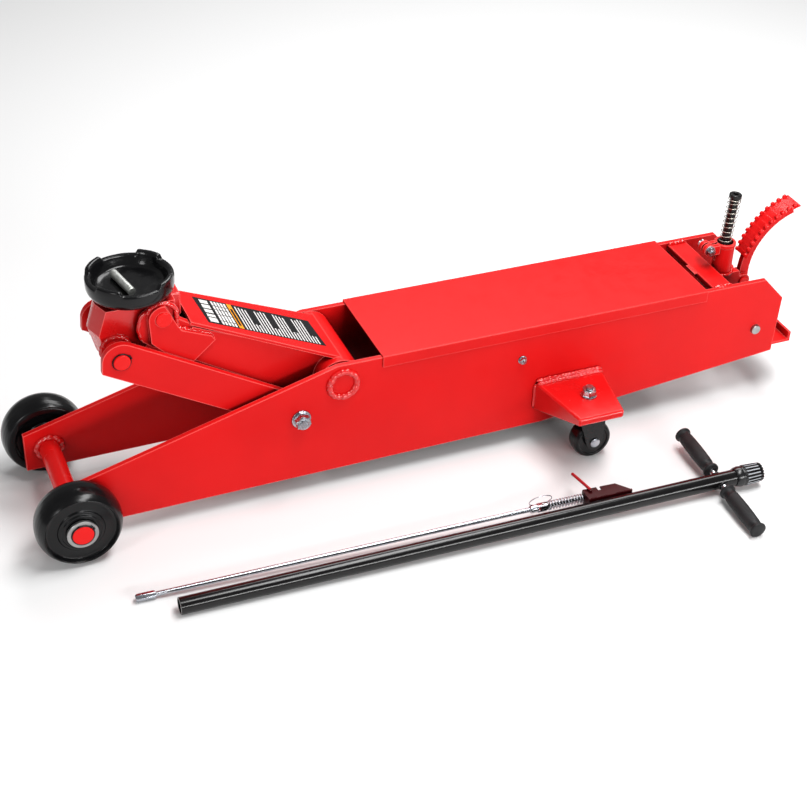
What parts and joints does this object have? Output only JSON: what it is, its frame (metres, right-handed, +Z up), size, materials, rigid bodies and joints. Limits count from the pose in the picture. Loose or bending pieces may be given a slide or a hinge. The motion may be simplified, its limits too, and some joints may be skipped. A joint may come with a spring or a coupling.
{
  "type": "car jack",
  "caption": "Long low hydraulic trolley jack with a lifting arm, swivel saddle, rolling chassis, foot pedal and separate pumping handle.",
  "frame": {"origin": "on the floor under the centre of the bounding box of the jack and its handle, which lies beside it", "axes": "+X runs from the saddle end to the handle end, +Z is up, and +Y is to the right for someone behind the jack who faces its saddle"},
  "size_m": [1.5279, 0.7317, 0.46],
  "materials": {
    "red_paint": "glossy red powder coat over welded plate",
    "axle_red": "glossy red paint",
    "pin_red": "glossy red paint over a steel pin",
    "wheel_black": "glossy black solid wheel",
    "saddle_black": "glossy black painted casting",
    "fork_black": "black painted pressing",
    "tube_black": "semi-gloss black powder coat",
    "rod_black": "black oxide steel",
    "grip_rubber": "moulded black rubber, textured",
    "knob_black": "black moulded plastic with flutes",
    "zinc": "bright zinc plate",
    "bright_steel": "ground bright steel",
    "spring_steel": "drawn spring wire",
    "maroon_paint": "dark maroon paint",
    "lever_red": "red dipped coating"
  },
  "bodies": {
    "chassis": {"side_plate_left": "red_paint", "side_plate_right": "red_paint", "top_cover": "red_paint", "front_axle": "axle_red", "wheel_washer_left": "zinc", "wheel_washer_right": "zinc", "arm_pivot_shaft": "red_paint", "link_bolt_left": "zinc", "link_bolt_right": "zinc", "rear_crossbar": "red_paint", "rear_angle": "red_paint", "rear_shaft": "zinc", "pump_block": "red_paint", "ram_cylinder": "red_paint", "reservoir_tank": "red_paint", "release_valve": "zinc", "return_spring_left": "spring_steel", "return_spring_right": "spring_steel", "caster_bracket_left": "red_paint", "caster_bracket_right": "red_paint", "caster_stud_left": "zinc", "caster_stud_right": "zinc"},
    "front_wheel_left": {"front_wheel_left": "wheel_black"},
    "front_wheel_right": {"front_wheel_right": "wheel_black"},
    "caster_fork_left": {"caster_fork_left": "fork_black", "caster_axle_left": "zinc"},
    "caster_fork_right": {"caster_fork_right": "fork_black", "caster_axle_right": "zinc"},
    "caster_wheel_left": {"caster_wheel_left": "wheel_black"},
    "caster_wheel_right": {"caster_wheel_right": "wheel_black"},
    "lift_arm": {"lift_arm": "red_paint", "arm_head_pin": "pin_red"},
    "link_left": {"link_bar_left": "red_paint"},
    "link_right": {"link_bar_right": "red_paint"},
    "saddle_bracket": {"saddle_bracket": "red_paint", "link_pin": "pin_red"},
    "saddle": {"saddle": "saddle_black", "saddle_pin": "zinc"},
    "ram": {"piston_rod": "bright_steel", "push_block": "bright_steel"},
    "handle_yoke": {"handle_yoke": "red_paint", "handle_socket": "red_paint", "pinch_bolt": "zinc", "pedal_pin": "pin_red", "release_spring": "spring_steel"},
    "release_rod": {"release_rod": "rod_black"},
    "foot_pedal": {"foot_pedal": "red_paint", "pedal_tread": "red_paint"},
    "pump_plunger": {"pump_plunger": "bright_steel"},
    "handle": {"handle_tube": "tube_black", "tee_bar": "bright_steel", "grip_left": "grip_rubber", "grip_right": "grip_rubber", "lever_bracket": "maroon_paint", "rod_spring": "spring_steel"},
    "release_knob": {"release_knob": "knob_black"},
    "linkage_rod": {"linkage_rod": "zinc"},
    "release_lever": {"release_lever": "lever_red"}
  },
  "joints": [
    {"name": "front_wheel_left_spin", "type": "hinge", "parent": "chassis", "child": "front_wheel_left", "pos_m": [-0.689, -0.0067, 0.075], "axis": [0, 1, 0], "continuous": true},
    {"name": "caster_left_swivel", "type": "hinge", "parent": "chassis", "child": "caster_fork_left", "pos_m": [0.254, -0.0385, 0.11], "axis": [0, 0, 1], "continuous": true},
    {"name": "caster_left_spin", "type": "hinge", "parent": "caster_fork_left", "child": "caster_wheel_left", "pos_m": [0.266, -0.0385, 0.038], "axis": [0, 1, 0], "continuous": true},
    {"name": "link_left_turn", "type": "hinge", "parent": "chassis", "child": "link_left", "pos_m": [-0.278, 0.0595, 0.163], "axis": [0, 1, 0], "range_deg": [-45, 25]},
    {"name": "front_wheel_right_spin", "type": "hinge", "parent": "chassis", "child": "front_wheel_right", "pos_m": [-0.689, 0.2697, 0.075], "axis": [0, 1, 0], "continuous": true},
    {"name": "caster_right_swivel", "type": "hinge", "parent": "chassis", "child": "caster_fork_right", "pos_m": [0.254, 0.3015, 0.11], "axis": [0, 0, 1], "continuous": true},
    {"name": "caster_right_spin", "type": "hinge", "parent": "caster_fork_right", "child": "caster_wheel_right", "pos_m": [0.266, 0.3015, 0.038], "axis": [0, 1, 0], "continuous": true},
    {"name": "link_right_turn", "type": "hinge", "parent": "chassis", "child": "link_right", "pos_m": [-0.278, 0.2035, 0.163], "axis": [0, 1, 0], "range_deg": [-45, 25]},
    {"name": "lift_arm_turn", "type": "hinge", "parent": "chassis", "child": "lift_arm", "pos_m": [-0.2, 0.1315, 0.219], "axis": [0, 1, 0], "range_deg": [-44, 24]},
    {"name": "saddle_bracket_turn", "type": "hinge", "parent": "lift_arm", "child": "saddle_bracket", "pos_m": [-0.503, 0.1315, 0.394], "axis": [0, 1, 0], "range_deg": [-25, 45]},
    {"name": "saddle_swivel", "type": "hinge", "parent": "saddle_bracket", "child": "saddle", "pos_m": [-0.5405, 0.1315, 0.4145], "axis": [0, 0, 1], "continuous": true},
    {"name": "ram_slide", "type": "slide", "parent": "chassis", "child": "ram", "axis": [-1, 0, 0], "range_m": [-0.082, 0.045], "deforming": ["return_spring_left", "return_spring_right"]},
    {"name": "handle_yoke_turn", "type": "hinge", "parent": "chassis", "child": "handle_yoke", "pos_m": [0.651, 0.1315, 0.1496], "axis": [0, 1, 0], "range_deg": [0, 40], "stiffness_Nm_per_rad": 8, "springref_deg": -20.05},
    {"name": "pump_plunger_slide", "type": "slide", "parent": "chassis", "child": "pump_plunger", "axis": [-1, 0, 0], "range_m": [0, 0.027]},
    {"name": "release_twist", "type": "hinge", "parent": "handle_yoke", "child": "release_rod", "pos_m": [0.6159, 0.1315, 0.2445], "axis": [0.0715, 0, 0.9974], "range_deg": [0, 180]},
    {"name": "foot_pedal_turn", "type": "hinge", "parent": "handle_yoke", "child": "foot_pedal", "pos_m": [0.666, 0.1315, 0.207], "axis": [0, 1, 0], "range_deg": [-20, 0]},
    {"name": "handle_lift", "type": "slide", "parent": "chassis", "child": "handle", "axis": [0, 0, 1], "range_m": [0, 0.25]},
    {"name": "release_knob_twist", "type": "hinge", "parent": "handle", "child": "release_knob", "pos_m": [0.46566, -0.2255, 0.02395], "axis": [0.9997, -0.0241, 0.0084], "range_deg": [-90, 90]},
    {"name": "release_lever_turn", "type": "hinge", "parent": "handle", "child": "release_lever", "pos_m": [0.19246, -0.18391, 0.03784], "axis": [-0.0084, 0.0002, 1], "range_deg": [-24, 0]},
    {"name": "linkage_rod_slide", "type": "slide", "parent": "handle", "child": "linkage_rod", "axis": [0.999, -0.0405, 0.0181], "range_m": [0, 0.008], "stiffness_N_per_m": 250, "springref_m": -0.008, "deforming": ["rod_spring"]}
  ],
  "couplings": [
    {"joint": "link_left_turn", "follows": "lift_arm_turn", "ratio": 1},
    {"joint": "link_right_turn", "follows": "lift_arm_turn", "ratio": 1},
    {"joint": "saddle_bracket_turn", "follows": "lift_arm_turn", "ratio": -1},
    {"joint": "ram_slide", "follows": "lift_arm_turn", "m_per_rad": 0.105},
    {"joint": "pump_plunger_slide", "follows": "handle_yoke_turn", "m_per_rad": 0.0372},
    {"joint": "release_lever_turn", "follows": "linkage_rod_slide", "rad_per_m": -50}
  ]
}
